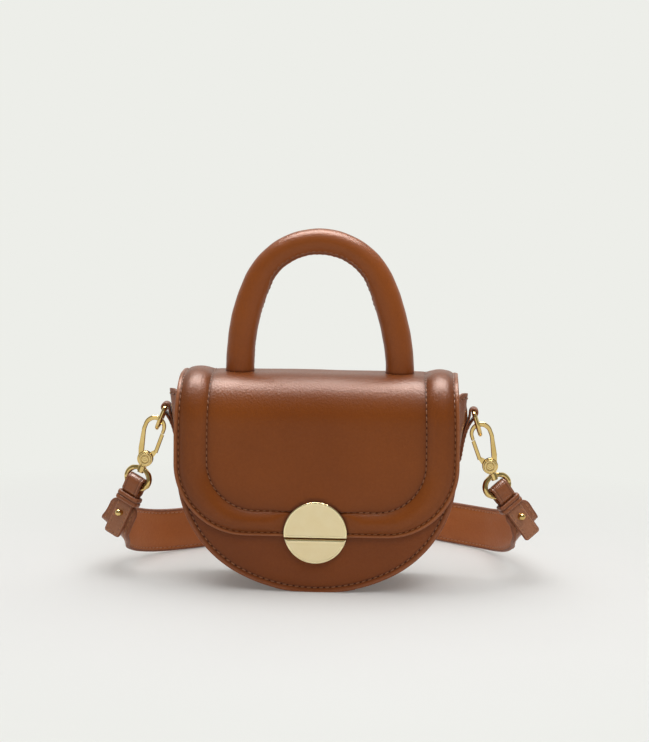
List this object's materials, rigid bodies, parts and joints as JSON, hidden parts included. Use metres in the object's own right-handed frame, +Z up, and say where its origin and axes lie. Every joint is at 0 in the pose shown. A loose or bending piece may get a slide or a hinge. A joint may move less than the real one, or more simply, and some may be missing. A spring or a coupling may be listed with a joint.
{
  "type": "saddle handbag",
  "caption": "Half-round leather saddle handbag with a padded stitched flap, tubular top handle, round magnetic lock and a clip-on shoulder strap laid behind it.",
  "frame": {"origin": "centre of the flat rest face under the bag, on the floor", "axes": "+X to the bag's right as seen from the front, -Y out of the front, +Z up"},
  "size_m": [0.3098, 0.3511, 0.2516],
  "materials": {
    "body_leather": "fine grained brown calf leather, semi-matte",
    "strap_leather": "brown strap leather, stitched, painted edges",
    "lining_cloth": "tan suede-like lining",
    "stiff_board": "hidden stiffening board",
    "padding": "hidden wadding",
    "core_rope": "hidden cotton rope filling",
    "satin_gold": "satin pale gold plate with bright bevelled rim",
    "polished_gold": "polished gold plated zinc",
    "magnet": "nickel plated magnet",
    "steel": "plain steel"
  },
  "bodies": {
    "bag_body": {"back_board": "stiff_board", "back_lining": "lining_cloth", "back_panel": "body_leather", "dring_tab_left": "body_leather", "dring_tab_right": "body_leather", "front_board": "stiff_board", "front_lining": "lining_cloth", "front_panel": "body_leather", "gusset": "body_leather", "gusset_board": "stiff_board", "gusset_lining": "lining_cloth", "inner_pocket": "lining_cloth", "keeper_left": "strap_leather", "keeper_right": "strap_leather", "lock_lower_magnet": "magnet", "lock_lower_plate": "satin_gold", "lock_lower_rivets": "satin_gold", "strap_end_left": "strap_leather", "strap_end_right": "strap_leather", "strap_floor": "strap_leather", "strap_rise_left": "strap_leather", "strap_rise_right": "strap_leather", "stud_left": "polished_gold", "stud_right": "polished_gold"},
    "flap": {"flap_cover": "body_leather", "flap_lining": "lining_cloth", "flap_padding": "padding", "handle_core": "core_rope", "handle_cover": "body_leather", "handle_screw_left": "steel", "handle_screw_right": "steel", "handle_washer_left": "steel", "handle_washer_right": "steel", "lock_upper_magnet": "magnet", "lock_upper_plate": "satin_gold", "lock_upper_rivets": "satin_gold"},
    "left_dring": {"dring_left": "polished_gold"},
    "left_ring": {"swivel_ring_left": "polished_gold"},
    "left_hook": {"hook_left": "polished_gold", "gate_pin_left": "polished_gold", "gate_spring_left": "steel"},
    "left_gate": {"gate_left": "polished_gold"},
    "right_dring": {"dring_right": "polished_gold"},
    "right_ring": {"swivel_ring_right": "polished_gold"},
    "right_hook": {"hook_right": "polished_gold", "gate_pin_right": "polished_gold", "gate_spring_right": "steel"},
    "right_gate": {"gate_right": "polished_gold"}
  },
  "joints": [
    {"name": "flap_hinge", "type": "hinge", "parent": "bag_body", "child": "flap", "pos_m": [0, 0.0352, 0.125], "axis": [-1, 0, 0], "range_deg": [0, 110]},
    {"name": "left_dring_swing", "type": "hinge", "parent": "bag_body", "child": "left_dring", "pos_m": [-0.1085, 0, 0.1238], "axis": [0, 1, 0], "range_deg": [-2.5, 4]},
    {"name": "left_ring_swing", "type": "hinge", "parent": "bag_body", "child": "left_ring", "pos_m": [-0.12966, 0.0001, 0.06927], "axis": [-0.8208, 0.4212, 0.3859], "range_deg": [-2, 2.5]},
    {"name": "left_hook_swivel", "type": "hinge", "parent": "left_ring", "child": "left_hook", "pos_m": [-0.1233, 0, 0.0861], "axis": [-0.342, 0, -0.9397], "range_deg": [-20, 20]},
    {"name": "left_gate", "type": "hinge", "parent": "left_hook", "child": "left_gate", "pos_m": [-0.1233, 0, 0.0861], "axis": [0, -1, 0], "range_deg": [0, 18], "stiffness_Nm_per_rad": 0.02, "springref_deg": -20.05},
    {"name": "right_dring_swing", "type": "hinge", "parent": "bag_body", "child": "right_dring", "pos_m": [0.1085, 0, 0.1238], "axis": [0, -1, 0], "range_deg": [-2.5, 4]},
    {"name": "right_ring_swing", "type": "hinge", "parent": "bag_body", "child": "right_ring", "pos_m": [0.12764, 0.00036, 0.06907], "axis": [0.7144, 0.4042, 0.5712], "range_deg": [-1.5, 2.5]},
    {"name": "right_hook_swivel", "type": "hinge", "parent": "right_ring", "child": "right_hook", "pos_m": [0.1208, 0, 0.0856], "axis": [0.342, 0, -0.9397], "range_deg": [-20, 20]},
    {"name": "right_gate", "type": "hinge", "parent": "right_hook", "child": "right_gate", "pos_m": [0.1208, 0, 0.0856], "axis": [0, 1, 0], "range_deg": [0, 18], "stiffness_Nm_per_rad": 0.02, "springref_deg": -20.05}
  ]
}
